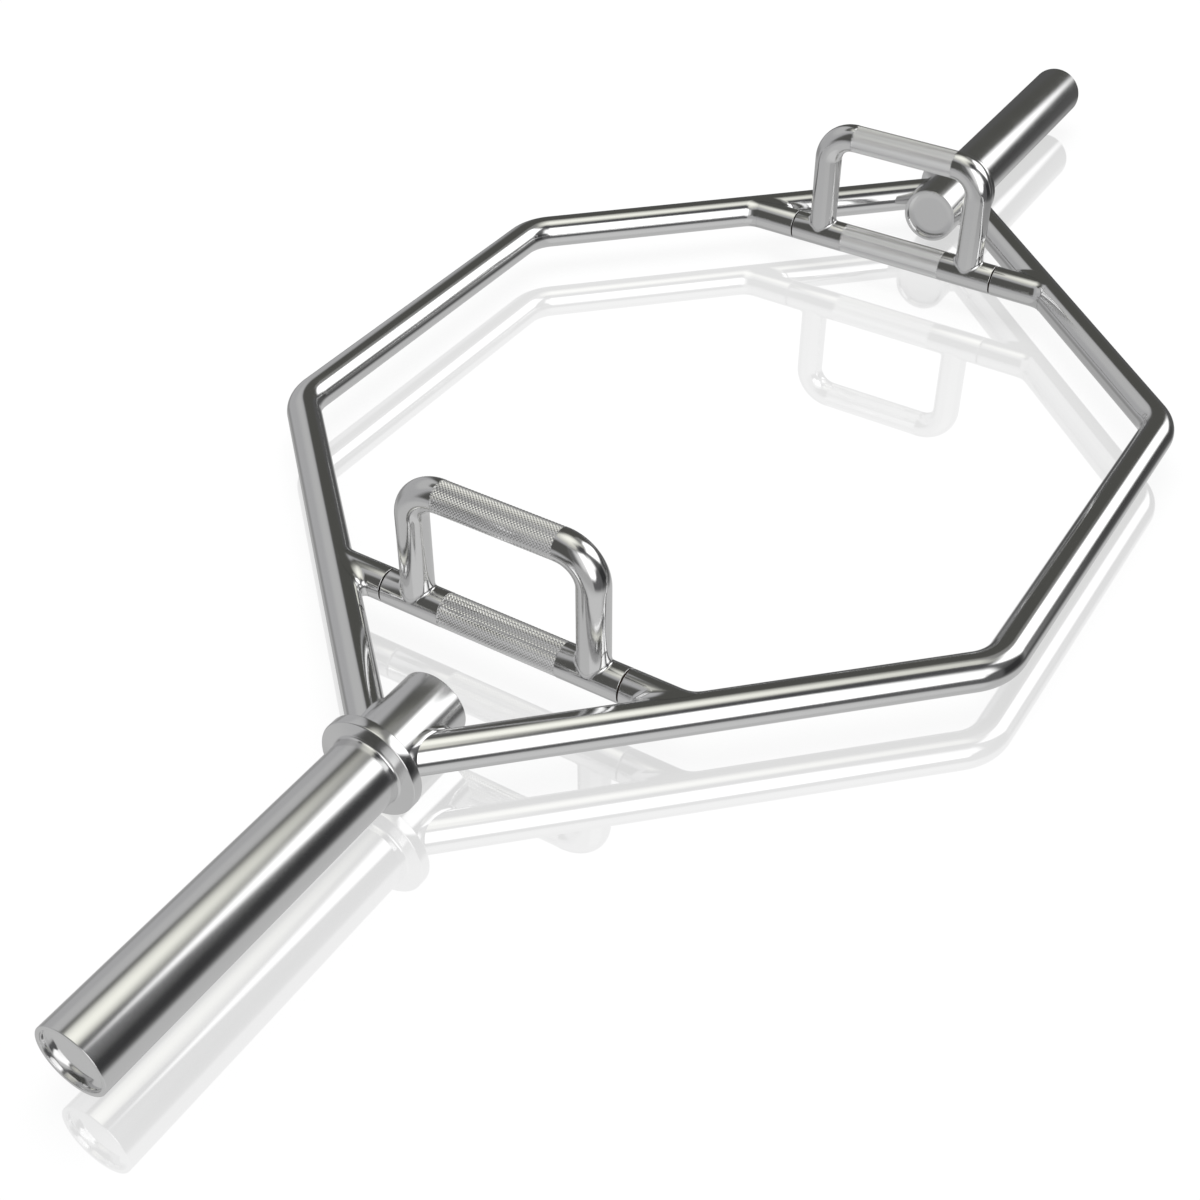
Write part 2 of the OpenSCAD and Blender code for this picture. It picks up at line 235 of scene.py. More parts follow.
# A ray that comes straight from the floor's mirror passes through to the white world
clear = add(tree, "ShaderNodeMath", {0: path["Is Singular Ray"], 1: below}, operation="SUBTRACT").outputs[0]
window = add(tree, "ShaderNodeBsdfTransparent", {"Color": (1, 1, 1, 1)}).outputs[0]
skin = add(tree, "ShaderNodeMixShader", {0: clear, 1: glow, 2: window}).outputs[0]
tree.links.new(skin, output.inputs["Surface"])

bpy.ops.object.select_all(action="DESELECT")
bpy.ops.mesh.primitive_uv_sphere_add(segments=48, ring_count=24, radius=ROOM_RADIUS)
dome = bpy.context.object
dome.name = "studio_room"
dome.data.materials.append(room)
dome.visible_camera = False
dome.visible_diffuse = False
dome.visible_transmission = False
dome.visible_shadow = False
print("room painted with", len(tree.nodes), "nodes")

# %% [markdown]
# The floor is a plain pale sheet, and the world behind it is white too, so in the photograph's view they
# meet without a line. Camera, glossy and transmission rays see that white. What is left of the floor's
# own shading is the soft shadow of the bar and its faint mirror image, as on a sheet of acrylic. A large
# lamp overhead and the world light it at a plain level.

# %% Floor, world and lamp
FLOOR_MIRROR = 0.26
FLOOR_SHADE = 0.16
FLOOR_ACROSS = 14.0
FLOOR_DROP = 0.0003
WORLD_LEVEL = 0.9
LAMP_ACROSS = 1.6
LAMP_WATTS = 24


def seen_directly(tree):
    """1 for a ray from the camera, from a glossy surface or through glass, and 0 for any other."""
    path = add(tree, "ShaderNodeLightPath").outputs
    sockets = {0: path["Is Camera Ray"], 1: path["Is Glossy Ray"]}
    either = add(tree, "ShaderNodeMath", sockets, operation="MAXIMUM").outputs[0]
    sockets = {0: either, 1: path["Is Transmission Ray"]}
    return add(tree, "ShaderNodeMath", sockets, operation="MAXIMUM").outputs[0]


world = bpy.data.worlds.new("white_studio")
bpy.context.scene.world = world
world.use_nodes = True
tree = world.node_tree
tree.nodes.clear()
white = add(tree, "ShaderNodeBackground", {"Color": colour("#FFFFFF"), "Strength": 1.0}).outputs[0]
level = add(tree, "ShaderNodeBackground", {"Color": colour("#FFFFFF"), "Strength": WORLD_LEVEL}).outputs[0]
sky = add(tree, "ShaderNodeMixShader", {0: seen_directly(tree), 1: level, 2: white}).outputs[0]
tree.links.new(sky, tree.nodes.new("ShaderNodeOutputWorld").inputs["Surface"])

sheet, tree, output = new_material("white_acrylic_floor")
matt = add(tree, "ShaderNodeBsdfDiffuse", {"Color": colour("#F4F4F4")}).outputs[0]
white = add(tree, "ShaderNodeEmission", {"Color": colour("#FFFFFF"), "Strength": 1.0}).outputs[0]
share = {0: seen_directly(tree), 1: 1.0 - FLOOR_SHADE}
share = add(tree, "ShaderNodeMath", share, operation="MULTIPLY").outputs[0]
face = add(tree, "ShaderNodeMixShader", {0: share, 1: matt, 2: white}).outputs[0]
mirror = add(tree, "ShaderNodeBsdfGlossy", {"Color": (1, 1, 1, 1), "Roughness": 0.0}).outputs[0]
face = add(tree, "ShaderNodeMixShader", {0: FLOOR_MIRROR, 1: face, 2: mirror}).outputs[0]
tree.links.new(face, output.inputs["Surface"])

bpy.ops.object.select_all(action="DESELECT")
bpy.ops.mesh.primitive_plane_add(size=FLOOR_ACROSS, location=(0, 0, -FLOOR_DROP))
floor = bpy.context.object
floor.name = "studio_floor"
floor.data.materials.append(sheet)
floor.visible_glossy = False

bpy.ops.object.light_add(type="AREA", location=(0.2, 0.2, 2.2))
lamp = bpy.context.object
lamp.data.shape = "DISK"
lamp.data.size = LAMP_ACROSS
lamp.data.energy = LAMP_WATTS
lamp.visible_glossy = False
print("floor at", round(1000 * floor.location.z, 2), "mm, under the collars")

# %% [markdown]
# ## The finishes
# Chrome plating is a thin bright layer over polished steel. Its colour is a neutral pale grey and it is
# fully metallic. Buffing leaves it smooth but not perfect, and here that is made as faint clouds and as
# very shallow lines about a millimetre apart. The clouds go into roughness and the lines into a very
# weak bump. The sleeves are polished lengthwise and a little duller. The knurl's chrome is painted a
# little paler, a painted highlight for the light that its diamonds catch. The caps and the welds are a
# little glossier.


# %% Chrome and the inner metals
def metal(name, code, rough, spread, cloud_mm, line_mm, depth_mm, stretch=(1, 1, 1)):
    """A metal with cloudy roughness and fine lines, at sizes given in millimetres."""
    material, tree, output = new_material(name)
    place = add(tree, "ShaderNodeTexCoord").outputs["Object"]
    clouds = {"Vector": place, "Scale": 1000 / cloud_mm, "Detail": 3.0}
    clouds = add(tree, "ShaderNodeTexNoise", clouds).outputs[0]
    # Most of the noise lies between 0.3 and 0.7
    sockets = {"Value": clouds, "From Min": 0.3, "From Max": 0.7}
    sockets.update({"To Min": rough - spread, "To Max": rough + spread})
    dull = add(tree, "ShaderNodeMapRange", sockets).outputs[0]
    # What the floor's mirror shows of it is sharp, so that the room's ray knows where it came from
    sharp = add(tree, "ShaderNodeLightPath").outputs["Is Singular Ray"]
    kept = add(tree, "ShaderNodeMath", {0: 1.0, 1: sharp}, operation="SUBTRACT").outputs[0]
    dull = add(tree, "ShaderNodeMath", {0: dull, 1: kept}, operation="MULTIPLY").outputs[0]
    along = add(tree, "ShaderNodeMapping", {"Vector": place, "Scale": stretch}).outputs[0]
    lines = {"Vector": along, "Scale": 1000 / line_mm, "Detail": 2.0}
    lines = add(tree, "ShaderNodeTexNoise", lines).outputs[0]
    bump = {"Height": lines, "Strength": 1.0, "Distance": depth_mm / 1000}
    bump = add(tree, "ShaderNodeBump", bump).outputs[0]
    sockets = {"Base Color": colour(code), "Metallic": 1.0, "Roughness": dull, "Normal": bump}
    body = add(tree, "ShaderNodeBsdfPrincipled", sockets).outputs[0]
    tree.links.new(body, output.inputs["Surface"])
    return material


chrome = metal("polished_chrome_plate", CHROME, 0.12, 0.02, 35, 1.2, 0.0015)
sleeve_chrome = metal("lengthwise_polished_chrome", CHROME, 0.19, 0.02, 35, 1.0, 0.002, (0.05, 1, 1))
# Painted highlight: the knurl's colour is paler than the plain chrome's, to brighten it as its diamonds
# catch the light
knurl_chrome_painted_highlight = metal("chromed_rolled_knurl_painted_highlight", "#ECECEC", 0.12, 0.02, 6, 0.8, 0.004)
cap_chrome = metal("pressed_and_chromed_cap", CHROME, 0.08, 0.015, 20, 1.2, 0.0015)
weld_chrome = metal("chromed_ground_weld", CHROME, 0.08, 0.02, 12, 2.5, 0.006)
steel = metal("turned_mild_steel", "#9A9DA0", 0.32, 0.05, 8, 0.5, 0.004)
bronze = metal("oiled_sintered_bronze", "#3B3129", 0.5, 0.06, 4, 0.6, 0.006)
finishes = (chrome, sleeve_chrome, knurl_chrome_painted_highlight, cap_chrome, weld_chrome, steel, bronze)
print("finishes:", [finish.name for finish in finishes])

# %% [markdown]
# ## Sizes
# The tubes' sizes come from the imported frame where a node's box gives them, and the rest are written
# here once, in millimetres.

# %% Sizes
mm = 0.001
axis_h = 36 * mm
tip_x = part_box("right_sleeve")[1].x
hub_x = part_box("right_sleeve")[0].x
collar_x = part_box("right_collar")[0].x
collar_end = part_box("right_collar")[1].x
sleeve_r = 25 * mm
hub_r = 24.7 * mm
bore_r = 22 * mm
rim_bevel = 0.5 * mm
rail_r = 13.5 * mm
rail_wall = 4 * mm
side_y = 293.5 * mm
corner_x = 163 * mm
rail_bend = 40 * mm
handle_x = 307.5 * mm
grip_r = 12.75 * mm
grip_wall = 3 * mm
seam_bevel = 0.4 * mm
grip_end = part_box("right_grip")[1].y
stub_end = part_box("right_front_stub")[0].y
loop_r = 11.7 * mm
loop_wall = 2.5 * mm
leg_y = 71 * mm
loop_h = 96.5 * mm
loop_bend = 24 * mm
hub_weld_leg = 3 * mm
stub_weld_leg = 6 * mm
loop_weld_leg = 2 * mm
# The hub welds stand out as a bead where the others are hollow
hub_weld_hollow = -0.4
# How far a coped end reaches into the wall of the tube that it is welded to
bite = 0.5 * mm
slant = math.atan2(side_y, collar_x - corner_x)
bend_cut = rail_bend * math.tan(slant / 2)
print("frame tube turns", round(math.degrees(slant), 2), "degrees at each corner")


# %% [markdown]
# ## Working by hand, in code
# Every piece but the welds is shaped in edit mode, as by hand. Picking is the one thing that needs
# code: with no mouse, vertices and edges are chosen by a test of their place. When a piece is done, it
# is smoothed by angle, given its finish and tied to its CAD body.


# %% Picking and finishing
# Faces that meet at a sharper angle than this keep a crisp edge
CRISP = math.radians(35)


def edit():
    """Enters edit mode with every vertex picked, whatever the last piece left behind."""
    bpy.ops.object.mode_set(mode="EDIT")
    bpy.ops.mesh.select_mode(type="VERT")
    bpy.ops.mesh.select_all(action="SELECT")


def pick(kind, test):
    """Selects the vertices or the edges of the piece in edit mode that pass the test."""
    bpy.ops.mesh.select_mode(type=kind)
    bpy.ops.mesh.select_all(action="DESELECT")
    mesh = bmesh.from_edit_mesh(bpy.context.object.data)
    for item in mesh.verts if kind == "VERT" else mesh.edges:
        if test(item):
            item.select_set(True)
    mesh.select_flush_mode()
    bmesh.update_edit_mesh(bpy.context.object.data)


def close_up():
    """Merges doubled points, drops loose edges and turns all faces outwards."""
    bpy.ops.mesh.select_mode(type="VERT")
    bpy.ops.mesh.select_all(action="SELECT")
    bpy.ops.mesh.remove_doubles(threshold=0.002 * mm)
    bpy.ops.mesh.delete_loose()
    bpy.ops.mesh.select_all(action="SELECT")
    bpy.ops.mesh.normals_make_consistent(inside=False)
    bpy.ops.object.mode_set(mode="OBJECT")


def use(piece, finish, body, slot, *nodes):
    """Smooths a finished piece, gives it its finish, ties it to its CAD body and hides the CAD nodes it
    stands for.
    """
    bpy.ops.object.select_all(action="DESELECT")
    piece.select_set(True)
    bpy.context.view_layer.objects.active = piece
    bpy.ops.object.shade_smooth_by_angle(angle=CRISP)
    piece.data.materials.clear()
    piece.data.materials.append(finish)
    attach(piece, body)
    if nodes:
        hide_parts(*nodes)


def copy_of(piece, name, turned_by):
    """A copy with its own mesh, moved by a matrix that goes straight into the mesh."""
    twin = piece.copy()
    twin.data = piece.data.copy()
    twin.name = name
    bpy.context.scene.collection.objects.link(twin)
    twin.data.transform(turned_by)
    if turned_by.determinant() < 0:
        twin.data.flip_normals()
    return twin


TO_LEFT = Matrix.Scale(-1, 4, (1, 0, 0))
TO_REAR = Matrix.Scale(-1, 4, (0, 1, 0))
HALF_TURN = Matrix.Rotation(math.pi, 4, "Z")
X = Vector((1, 0, 0))
Y = Vector((0, 1, 0))
Z = Vector((0, 0, 1))

# %% [markdown]
# ## Sleeve tubes, collars and caps
# All of these are round about the sleeve's axis, so they are made as on a lathe: half a cross-section is
# drawn as a ring of points, its corners are rounded, and spin turns it about that axis. A plain cylinder
# would give sharp rims, and chrome shows every edge by the thin bright line that its rounding makes.


# %% Turning
def turned(name, centre, along, corners, rounds=(), steps=128):
    """Turns a section about an axis. A corner is (distance along it, radius); rounds are (corner, size)."""
    bpy.ops.object.select_all(action="DESELECT")
    bpy.ops.mesh.primitive_circle_add(vertices=len(corners), radius=0.01)
    piece = bpy.context.object
    piece.name = name
    edit()
    mesh = bmesh.from_edit_mesh(piece.data)
    mesh.verts.ensure_lookup_table()
    spots = [centre + along * far + Z * radius for far, radius in corners]
    for vert, spot in zip(mesh.verts, spots):
        vert.co = spot
    bmesh.update_edit_mesh(piece.data)
    for corner, size in rounds:
        pick("VERT", lambda vert: (vert.co - spots[corner]).length < 0.001 * mm)
        bpy.ops.mesh.bevel(affect="VERTICES", offset=size, offset_type="OFFSET", segments=5, profile=0.5)
    bpy.ops.mesh.select_all(action="SELECT")
    bpy.ops.mesh.spin(steps=steps, angle=2 * math.pi, center=centre, axis=along)
    close_up()
    print(name, len(piece.data.polygons), "faces")
    return piece


on_axis = Vector((0, 0, axis_h))

# %% Sleeve tubes
sleeve = turned(
    "right_sleeve_tube",
    on_axis,
    X,
    [
        (hub_x, bore_r), (hub_x, hub_r), (collar_end, hub_r),
        (collar_end, sleeve_r), (tip_x, sleeve_r), (tip_x, bore_r),
    ],
    [(0, rim_bevel), (1, rim_bevel), (4, rim_bevel), (5, rim_bevel)],
)
use(sleeve, sleeve_chrome, "frame", "chrome", "right_sleeve")
use(copy_of(sleeve, "left_sleeve_tube", TO_LEFT), sleeve_chrome, "frame", "chrome", "left_sleeve")

# %% Collars
collar_r = 36 * mm
land = 8 * mm
# How far the collar's outboard face swells towards the sleeve: half of what the CAD model has
swell = 1.3 * mm
collar_round = 0.8 * mm
collar_weld = 1.8 * mm
collar = turned(
    "right_collar_ring",
    on_axis,
    X,
    [
        (collar_x, hub_r), (collar_x, collar_r), (collar_x + land, collar_r),
        (collar_x + land + swell, sleeve_r), (collar_end, sleeve_r), (collar_end, hub_r),
    ],
    [(1, collar_round), (2, collar_round), (3, collar_weld)],
)
use(collar, chrome, "frame", "chrome", "right_collar")
use(copy_of(collar, "left_collar_ring", TO_LEFT), chrome, "frame", "chrome", "left_collar")

# %% [markdown]
# A pressed cap closes each end of each sleeve tube. It is a shallow cup: its face lies four millimetres
# down and is dished up towards its rim, and a thin wall lines the tube's mouth. The dish is slight, but
# wall and face mirror each other, so it decides what the whole cap looks like.

# %% Tube caps
recess = 4 * mm
cap_t = 5 * mm
cap_r = bore_r - 0.03 * mm
lip_r = bore_r - 0.25 * mm
lip_top = tip_x - 0.7 * mm
cap_back = tip_x - recess - cap_t
dish_r = 16 * mm
dish_end = math.radians(22)
dish_steps = 11
dish = []
for i in range(dish_steps + 1):
    a = dish_end * i / dish_steps
    down = recess - dish_r * (1 - math.cos(a))
    dish.append((tip_x - down, lip_r - dish_r * (math.sin(dish_end) - math.sin(a))))
cap = turned(
    "right_end_cap_disc",
    on_axis,
    X,
    [
        (tip_x - recess, 0), *dish, (lip_top, lip_r), (lip_top, cap_r),
        (cap_back, cap_r), (cap_back, 0),
    ],
)
use(cap, cap_chrome, "frame", "cap", "right_end_cap")
use(copy_of(cap, "left_end_cap_disc", TO_LEFT), cap_chrome, "frame", "cap", "left_end_cap")
inner = copy_of(cap, "left_hub_cap_disc", Matrix.Translation((-tip_x - hub_x, 0, 0)))
use(inner, cap_chrome, "frame", "cap", "left_hub_cap")
use(copy_of(inner, "right_hub_cap_disc", TO_LEFT), cap_chrome, "frame", "cap", "right_hub_cap")

# %% [markdown]
# ## Frame tubes
# Each frame tube is one length of tube with a bend on each side of its middle. It is made the way a
# tube bender works: a ring of points is pushed straight, swept round the bend with spin, and pushed
# straight again. The last ring is then slid along the tube until each point lies just inside the hub's
# wall, which is how a coped end fits. Only half is made, and a mirror gives the other half.


# %% Bending tube
def bent(name, radius, start, heading, across, bend_r, lengths, angle, wall, end_on, mirror_axis, neck=None):
    """Half a bent tube: straight, bend, straight. end_on gives each point of the last ring its place.

    neck is (length, radius) of a stretch in the middle that is turned down a little."""
    bpy.ops.object.select_all(action="DESELECT")
    around = 72
    bend_steps = 28
    turn = heading.to_track_quat("Z", "Y").to_euler()
    first = neck[1] if neck else radius
    bpy.ops.mesh.primitive_circle_add(vertices=around, radius=first, location=start, rotation=turn)
    bpy.ops.object.transform_apply(location=True, rotation=True, scale=True)
    piece = bpy.context.object
    piece.name = name
    edit()
    done = 0.0
    if neck:
        ramp = 0.25 * mm
        done = neck[0] + ramp
        bpy.ops.mesh.extrude_region_move(TRANSFORM_OT_translate={"value": heading * neck[0]})
        bpy.ops.mesh.extrude_region_move(TRANSFORM_OT_translate={"value": heading * ramp})
        grow = radius / neck[1]
        bpy.ops.transform.resize(value=(grow, grow, grow), center_override=start + heading * done)
    bpy.ops.mesh.extrude_region_move(TRANSFORM_OT_translate={"value": heading * (lengths[0] - done)})
    centre = start + heading * lengths[0] + across * bend_r
    axis = heading.cross(across)
    # Spin turns clockwise about its axis, so the angle is negative
    bpy.ops.mesh.spin(steps=bend_steps, angle=-angle, center=centre, axis=axis)
    away = Matrix.Rotation(angle, 3, axis) @ heading
    bpy.ops.mesh.extrude_region_move(TRANSFORM_OT_translate={"value": away * lengths[1]})
    mesh = bmesh.from_edit_mesh(piece.data)
    for vert in mesh.verts:
        if vert.select:
            vert.co = end_on(vert.co, away)
    bmesh.update_edit_mesh(piece.data)
    close_up()
    for kind, settings in (
        ("MIRROR", {"use_axis": [i == mirror_axis for i in range(3)], "merge_threshold": 0.01 * mm}),
        ("SOLIDIFY", {"thickness": wall, "offset": -1, "use_rim": True}),
    ):
        modifier = piece.modifiers.new(kind.lower(), kind)
        for setting, value in settings.items():
            setattr(modifier, setting, value)
        bpy.ops.object.modifier_apply(modifier=modifier.name)
    print(name, len(piece.data.polygons), "faces")
    return piece


# %% Frame tubes
def onto_hub(spot, away):
    """The point slid along the tube until it is a bite deep in the hub's wall."""
    rise = spot.z - axis_h
    target = math.sqrt((hub_r - bite) ** 2 - rise**2)
    return spot + away * ((target - spot.y) / away.y)


straight = corner_x - bend_cut
slant_len = math.hypot(collar_x - corner_x, side_y) - bend_cut
rail = bent(
    "front_frame_tube", rail_r, Vector((0, side_y, axis_h)), X, -Y, rail_bend,
    (straight, slant_len), slant, rail_wall, onto_hub, 0,
)
use(rail, chrome, "frame", "chrome", "front_rail")
use(copy_of(rail, "rear_frame_tube", HALF_TURN), chrome, "frame", "chrome", "rear_rail")

# %% [markdown]
# ## The handle units
# Between two stubs that are welded to the frame, the grip tube turns on an axle. The raised grip is
# welded over it. The seams beside the grip tube are about a millimetre wide, and a bronze bush's
# flange lies in each, so they read as thin dark rings.


# %% Stubs
def onto_frame_tube(spot):
    """The point slid forward until it is a bite deep in the slanted frame tube's wall."""
    rise = spot.z - axis_h
    inside = math.sqrt((rail_r - bite) ** 2 - rise**2)
    y = (-inside - (spot.x - collar_x) * math.sin(slant)) / math.cos(slant)
    return Vector((spot.x, y, spot.z))


root_y = (collar_x - handle_x) * math.tan(slant)
stub = turned(
    "right_front_stub_tube",
    Vector((handle_x, 0, axis_h)),
    Y,
    [(stub_end, grip_r - grip_wall), (stub_end, grip_r), (root_y, grip_r), (root_y, grip_r - grip_wall)],
    [(0, seam_bevel), (1, seam_bevel)],
    steps=72,
)
bpy.ops.object.mode_set(mode="EDIT")
pick("VERT", lambda vert: vert.co.y > root_y - 0.01 * mm)
mesh = bmesh.from_edit_mesh(stub.data)
for vert in mesh.verts:
    if vert.select:
        vert.co = onto_frame_tube(vert.co)
bmesh.update_edit_mesh(stub.data)
bpy.ops.object.mode_set(mode="OBJECT")
use(stub, chrome, "frame", "chrome", "right_front_stub")
for corner, matrix in (("right_rear", TO_REAR), ("left_front", TO_LEFT), ("left_rear", HALF_TURN)):
    twin = copy_of(stub, corner + "_stub_tube", matrix)
    use(twin, chrome, "frame", "chrome", corner + "_stub")

# %% [markdown]
# The grip tube's middle is knurled: a wheel rolls two sets of slanted grooves into it, and what stands
# between them are small pointed diamonds. The zone is turned down a little first, so the diamonds' tips
# end up about level with the tube. A pitch of 2.5 mm along the tube was measured in the photograph,
# where it is only a few pixels. That is coarse enough to be real geometry: the diamonds catch the light
# and throw it back from their flanks as real ones do.

# %% Grip tubes
knurl_half = 47.5 * mm
knurl_depth = 0.52 * mm
knurl_step = 0.15 * mm
knurl_rows = 38
low_columns = 34
top_columns = 31
neck_r = grip_r - knurl_depth - knurl_step
grip = turned(
    "right_grip_tube",
    Vector((handle_x, 0, axis_h)),
    Y,
    [
        (-grip_end, grip_r - grip_wall), (-grip_end, grip_r), (-knurl_half, grip_r), (-knurl_half, neck_r),
        (knurl_half, neck_r), (knurl_half, grip_r), (grip_end, grip_r), (grip_end, grip_r - grip_wall),
    ],
    [
        (0, seam_bevel), (1, seam_bevel), (2, knurl_step),
        (5, knurl_step), (6, seam_bevel), (7, seam_bevel),
    ],
    steps=96,
)
use(grip, chrome, "right_handle", "chrome", "right_grip")
use(copy_of(grip, "left_grip_tube", TO_LEFT), chrome, "left_handle", "chrome", "left_grip")


# %% Knurl
def knurled(name, centre, radius, columns, rows, half):
    """A band of pointed diamonds on a tube along Y: a net of squares, turned to diamonds, then raised."""
    bpy.ops.object.select_all(action="DESELECT")
    bpy.ops.mesh.primitive_cylinder_add(
        vertices=columns, radius=radius, depth=2 * half, end_fill_type="NOTHING",
        location=centre, rotation=(math.radians(90), 0, 0),
    )
    bpy.ops.object.transform_apply(location=True, rotation=True, scale=True)
    piece = bpy.context.object
    piece.name = name
    edit()
    # Cut the long faces into rows
    pick("EDGE", lambda edge: abs(edge.verts[0].co.y - edge.verts[1].co.y) > half)
    bpy.ops.mesh.subdivide(number_cuts=rows - 1)
    # A point in the middle of every square, then the squares' own edges go, which leaves diamonds
    bpy.ops.mesh.select_mode(type="FACE")
    bpy.ops.mesh.select_all(action="SELECT")
    corners = len(bmesh.from_edit_mesh(piece.data).verts)
    bpy.ops.mesh.poke()
    mesh = bmesh.from_edit_mesh(piece.data)
    mesh.verts.ensure_lookup_table()
    for vert in mesh.verts:
        out = Vector((vert.co.x - centre.x, 0, vert.co.z - centre.z))
        vert.co += out.normalized() * (radius - out.length)
    pick("EDGE", lambda edge: all(v.index < corners for v in edge.verts) and not edge.is_boundary)
    bpy.ops.mesh.dissolve_edges(use_verts=False, use_face_split=False)
    # Each diamond is raised to a point
    bpy.ops.mesh.select_mode(type="FACE")
    bpy.ops.mesh.select_all(action="SELECT")
    bpy.ops.mesh.normals_make_consistent(inside=False)
    bpy.ops.mesh.poke(offset=knurl_depth)
    bpy.ops.object.mode_set(mode="OBJECT")
    print(name, len(piece.data.polygons), "faces")
    return piece


low_centre = Vector((handle_x, 0, axis_h))
low = knurled("right_grip_knurl", low_centre, grip_r - knurl_depth, low_columns, knurl_rows, knurl_half)
use(low, knurl_chrome_painted_highlight, "right_handle", "chrome")
use(copy_of(low, "left_grip_knurl", TO_LEFT), knurl_chrome_painted_highlight, "left_handle", "chrome")

# %% [markdown]
# The raised grip is bent from a slightly thinner tube. Its legs are coped to the grip tube in the same
# way as the frame tubes are to the hub.


# %% Raised grips
def onto_grip(spot, away):
    """The point slid down the leg until it is a bite deep in the grip tube's wall."""
    beside = spot.x - handle_x
    return Vector((spot.x, spot.y, axis_h + math.sqrt((grip_r - bite) ** 2 - beside**2)))


# The upper knurl ends just short of the bends
top_knurl_half = leg_y - loop_bend - 0.4 * mm
top_neck_r = loop_r - knurl_depth - 0.1 * mm
top_centre = Vector((handle_x, 0, axis_h + loop_h))
loop = bent(
    "right_raised_grip_tube", loop_r, top_centre, Y, -Z, loop_bend,
    (leg_y - loop_bend, loop_h - loop_bend - grip_r), math.pi / 2, loop_wall, onto_grip, 1,
    neck=(top_knurl_half, top_neck_r),
)
use(loop, chrome, "right_handle", "chrome", "right_loop")
use(copy_of(loop, "left_raised_grip_tube", TO_LEFT), chrome, "left_handle", "chrome", "left_loop")
top_r = loop_r - knurl_depth
top = knurled("right_raised_grip_knurl", top_centre, top_r, top_columns, knurl_rows, top_knurl_half)
use(top, knurl_chrome_painted_highlight, "right_handle", "chrome")
use(copy_of(top, "left_raised_grip_knurl", TO_LEFT), knurl_chrome_painted_highlight, "left_handle", "chrome")

# %% [markdown]
# ## Welds
# A weld between two tubes is a ring that touches both. Imagine a ball rolled round the joint, always
# touching the two tubes: the hollow that it leaves is the weld's face. No modelling tool rolls such a
# ball, so the ring's points are worked out from that picture, much as in the CAD source. The welds at
# the hubs are laid fuller than that, as a slight bead.


# %% Rolling a ball round a joint
def meet(r, d, tilt, turn):
    """A point at radius r about tube A and distance d from tube B, which runs along X."""
    reach = math.sqrt(d * d - (r * math.sin(turn)) ** 2)
    along = (r * math.cos(turn) * math.cos(tilt) + reach) / math.sin(tilt)
    axis = Vector((math.cos(tilt), math.sin(tilt), 0))
    side = Vector((math.sin(tilt), -math.cos(tilt), 0))
    return along * axis + r * (math.cos(turn) * side + math.sin(turn) * Z)


def on_a(p, r, tilt):
    """The point straight out from tube A's axis towards p, at radius r."""
    axis = Vector((math.cos(tilt), math.sin(tilt), 0))
    base = p.dot(axis) * axis
    return base + r * (p - base).normalized()


def on_b(p, r):
    """The same for tube B."""
    out = Vector((0, p.y, p.z)).normalized()
    return Vector((p.x, r * out.y, r * out.z))


def weld_ring(name, place, ra, rb, leg, tilt, hollow=1.0):
    """A weld all round the place where tube A ends on tube B.

    hollow is 1 as the ball leaves it, 0 is flat, and below 0 is a raised bead."""
    steps = 120
    arcs = 8
    skin = 0.08 * mm
    depth = 0.3 * mm
    rows = []
    for i in range(steps):
        turn = 2 * math.pi * i / steps
        edge = meet(ra, rb, tilt, turn)
        normal_a = (edge - on_a(edge, 1e-6, tilt)).normalized()
        normal_b = Vector((0, edge.y, edge.z)).normalized()
        between = math.acos(normal_a.dot(normal_b))
        ball = leg * math.tan(math.pi / 2 - between / 2)
        centre = meet(ra + ball, rb + ball, tilt, turn)
        a = on_a(centre, ra + skin, tilt) - centre
        c = on_b(centre, rb + skin) - centre
        sweep = a.angle(c)
        row = []
        for k in range(arcs + 1):
            f = k / arcs
            ball_face = (math.sin((1 - f) * sweep) * a + math.sin(f * sweep) * c) / math.sin(sweep)
            flat_face = (1 - f) * a + f * c
            row.append(centre + hollow * ball_face + (1 - hollow) * flat_face)
        root = meet(ra - depth, rb - depth, tilt, turn)
        row.append(root)
        rows.append(row)
    size = len(rows[0])
    points = [place @ p for row in rows for p in row]
    faces = []
    for i in range(steps):
        j = (i + 1) % steps
        for k in range(size):
            m = (k + 1) % size
            faces.append((i * size + k, j * size + k, j * size + m, i * size + m))
    data = bpy.data.meshes.new(name)
    data.from_pydata(points, [], faces)
    piece = bpy.data.objects.new(name, data)
    bpy.context.scene.collection.objects.link(piece)
    bpy.ops.object.select_all(action="DESELECT")
    piece.select_set(True)
    bpy.context.view_layer.objects.active = piece
    bpy.ops.object.mode_set(mode="EDIT")
    close_up()
    return piece


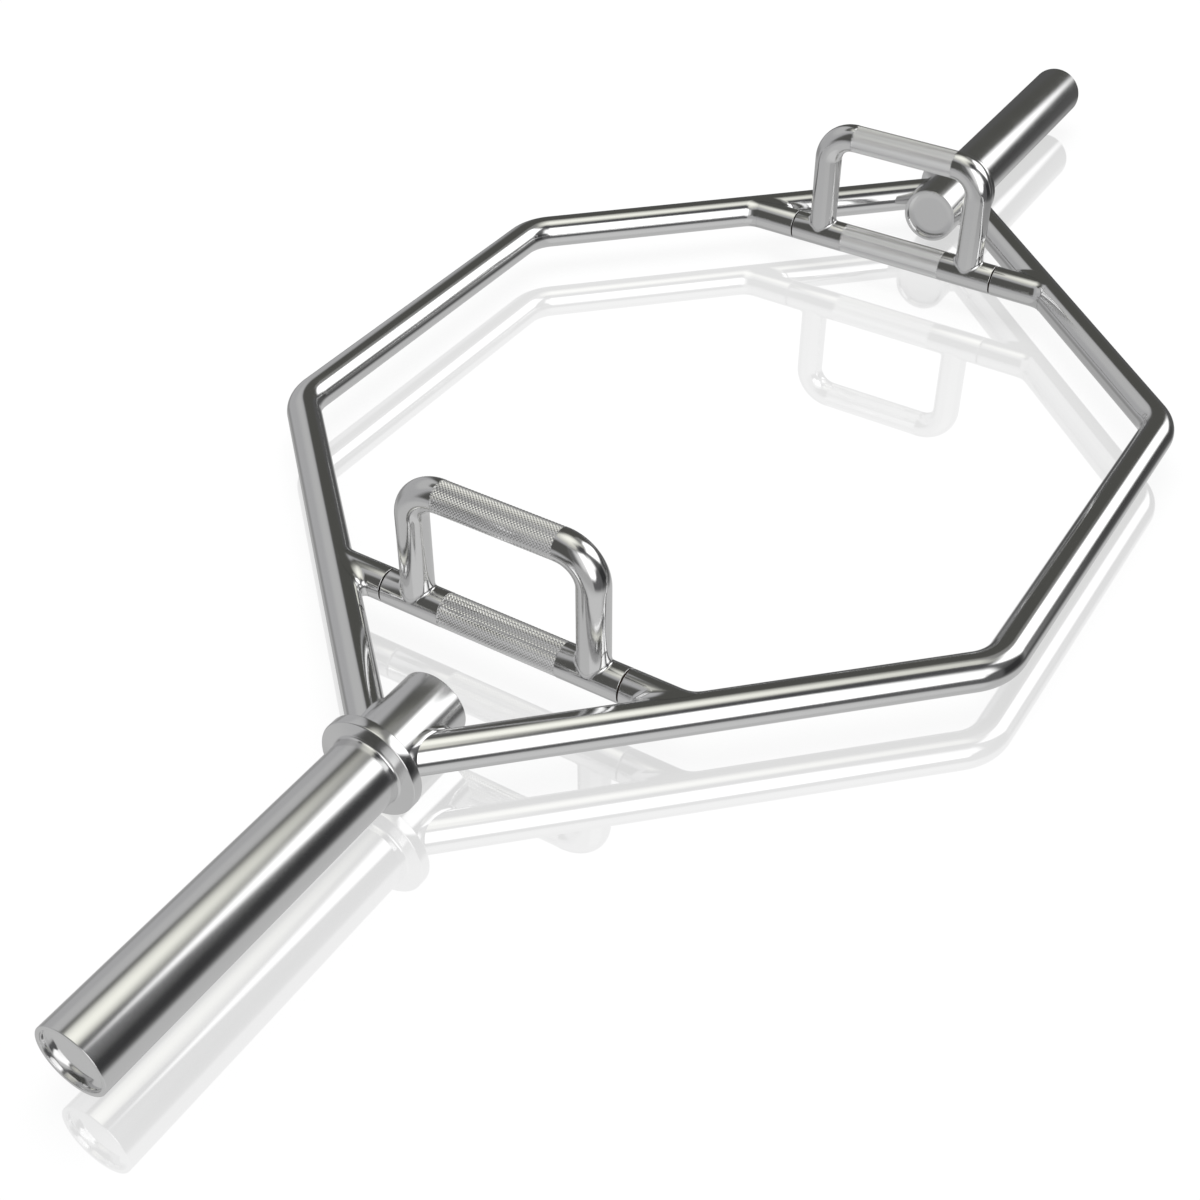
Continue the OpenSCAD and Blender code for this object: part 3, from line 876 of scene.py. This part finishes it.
# %% Welds of the frame and the handles
hub_place = Matrix.Translation((collar_x, 0, axis_h)) @ TO_LEFT
hub_weld = weld_ring("right_front_hub_weld", hub_place, rail_r, hub_r, hub_weld_leg, slant, hub_weld_hollow)
use(hub_weld, weld_chrome, "frame", "weld", "right_hub_welds")
use(copy_of(hub_weld, "right_rear_hub_weld", TO_REAR), weld_chrome, "frame", "weld")
use(copy_of(hub_weld, "left_front_hub_weld", TO_LEFT), weld_chrome, "frame", "weld", "left_hub_welds")
use(copy_of(hub_weld, "left_rear_hub_weld", HALF_TURN), weld_chrome, "frame", "weld")

stub_place = Matrix.Translation((handle_x, root_y, axis_h)) @ Matrix.Rotation(-slant, 4, "Z") @ TO_REAR
stub_tilt = math.pi / 2 - slant
stub_weld = weld_ring("right_front_stub_weld", stub_place, grip_r, rail_r, stub_weld_leg, stub_tilt)
use(stub_weld, weld_chrome, "frame", "weld", "right_stub_welds")
use(copy_of(stub_weld, "right_rear_stub_weld", TO_REAR), weld_chrome, "frame", "weld")
use(copy_of(stub_weld, "left_front_stub_weld", TO_LEFT), weld_chrome, "frame", "weld", "left_stub_welds")
use(copy_of(stub_weld, "left_rear_stub_weld", HALF_TURN), weld_chrome, "frame", "weld")

stood_up = Matrix.Rotation(math.pi / 2, 4, "Z") @ Matrix.Rotation(math.pi / 2, 4, "X")
loop_place = Matrix.Translation((handle_x, leg_y, axis_h)) @ stood_up
loop_weld = weld_ring("right_front_loop_weld", loop_place, loop_r, grip_r, loop_weld_leg, math.pi / 2)
use(loop_weld, weld_chrome, "right_handle", "weld", "right_loop_welds")
use(copy_of(loop_weld, "right_rear_loop_weld", TO_REAR), weld_chrome, "right_handle", "weld")
left_weld = copy_of(loop_weld, "left_front_loop_weld", TO_LEFT)
use(left_weld, weld_chrome, "left_handle", "weld", "left_loop_welds")
use(copy_of(loop_weld, "left_rear_loop_weld", HALF_TURN), weld_chrome, "left_handle", "weld")
print("welds done")

# %% [markdown]
# The axles, the stub plugs and the bushes are right as they come from the CAD model. They lie inside
# the tubes and show only in the seams, so they stay and get their metals.

# %% Inner pieces
for name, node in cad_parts.items():
    if name.endswith("_bush"):
        finish = bronze
    elif name.endswith(("_plug", "_axle")):
        finish = steel
    else:
        continue
    for slot in node.material_slots:
        slot.material = finish
print("inner pieces finished")

# %% [markdown]
# ## View transform
# Blender shows the picture through its Standard view transform.

# %% Standard view
bpy.context.scene.view_settings.view_transform = "Standard"
